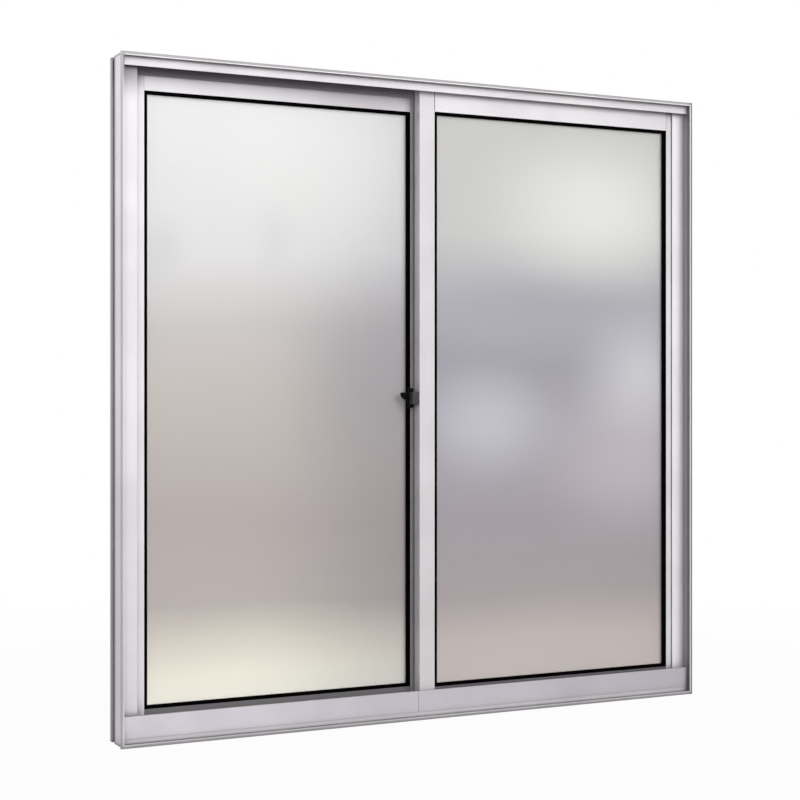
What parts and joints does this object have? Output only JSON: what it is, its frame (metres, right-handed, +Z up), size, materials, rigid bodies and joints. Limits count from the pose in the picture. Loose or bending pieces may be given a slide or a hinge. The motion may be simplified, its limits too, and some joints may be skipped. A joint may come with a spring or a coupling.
{
  "type": "horizontal sliding window",
  "caption": "Horizontal sliding window with a slim aluminium frame, overlapping sashes, translucent panes in dark gaskets, and a small side catch.",
  "frame": {"origin": "middle of the flat underside of the sill, behind the lap lip", "axes": "+X along the window to the right as seen from the room, +Y from the room to the outside, +Z up"},
  "size_m": [1, 0.0637, 1],
  "materials": {
    "aluminium": "satin natural anodised",
    "frosted_glass": "frosted, translucent",
    "black_rubber": "matte",
    "pile": "woven pile",
    "roller_plastic": "matte",
    "wheel_plastic": "matte",
    "catch_black": "fine grained",
    "catch_metal": "dark grey"
  },
  "bodies": {
    "root": {"head_frame": "aluminium", "sill_frame": "aluminium", "left_jamb": "aluminium", "right_jamb": "aluminium", "sill_cover_left": "aluminium", "sill_cover_right": "aluminium", "left_sash_outer_stile": "aluminium", "left_sash_meeting_stile": "aluminium", "left_sash_side_seal": "pile", "left_sash_top_rail": "aluminium", "left_sash_bottom_rail": "aluminium", "left_sash_glass": "frosted_glass", "left_sash_room_gasket": "black_rubber", "left_sash_outside_gasket": "black_rubber", "left_sash_roller_carrier_left": "roller_plastic", "left_sash_roller_wheel_left": "wheel_plastic", "left_sash_roller_carrier_right": "roller_plastic", "left_sash_roller_wheel_right": "wheel_plastic", "left_sash_top_guide_left": "roller_plastic", "left_sash_top_guide_right": "roller_plastic", "left_sash_interlock": "aluminium", "right_sash_outer_stile": "aluminium", "right_sash_meeting_stile": "aluminium", "right_sash_side_seal": "pile", "right_sash_top_rail": "aluminium", "right_sash_bottom_rail": "aluminium", "right_sash_glass": "frosted_glass", "right_sash_room_gasket": "black_rubber", "right_sash_outside_gasket": "black_rubber", "right_sash_roller_carrier_left": "roller_plastic", "right_sash_roller_wheel_left": "wheel_plastic", "right_sash_roller_carrier_right": "roller_plastic", "right_sash_roller_wheel_right": "wheel_plastic", "right_sash_top_guide_left": "roller_plastic", "right_sash_top_guide_right": "roller_plastic", "right_sash_interlock": "aluminium", "catch_plate": "catch_metal", "catch_body": "catch_black", "catch_lever": "catch_black", "catch_keeper": "catch_metal"}
  },
  "joints": []
}
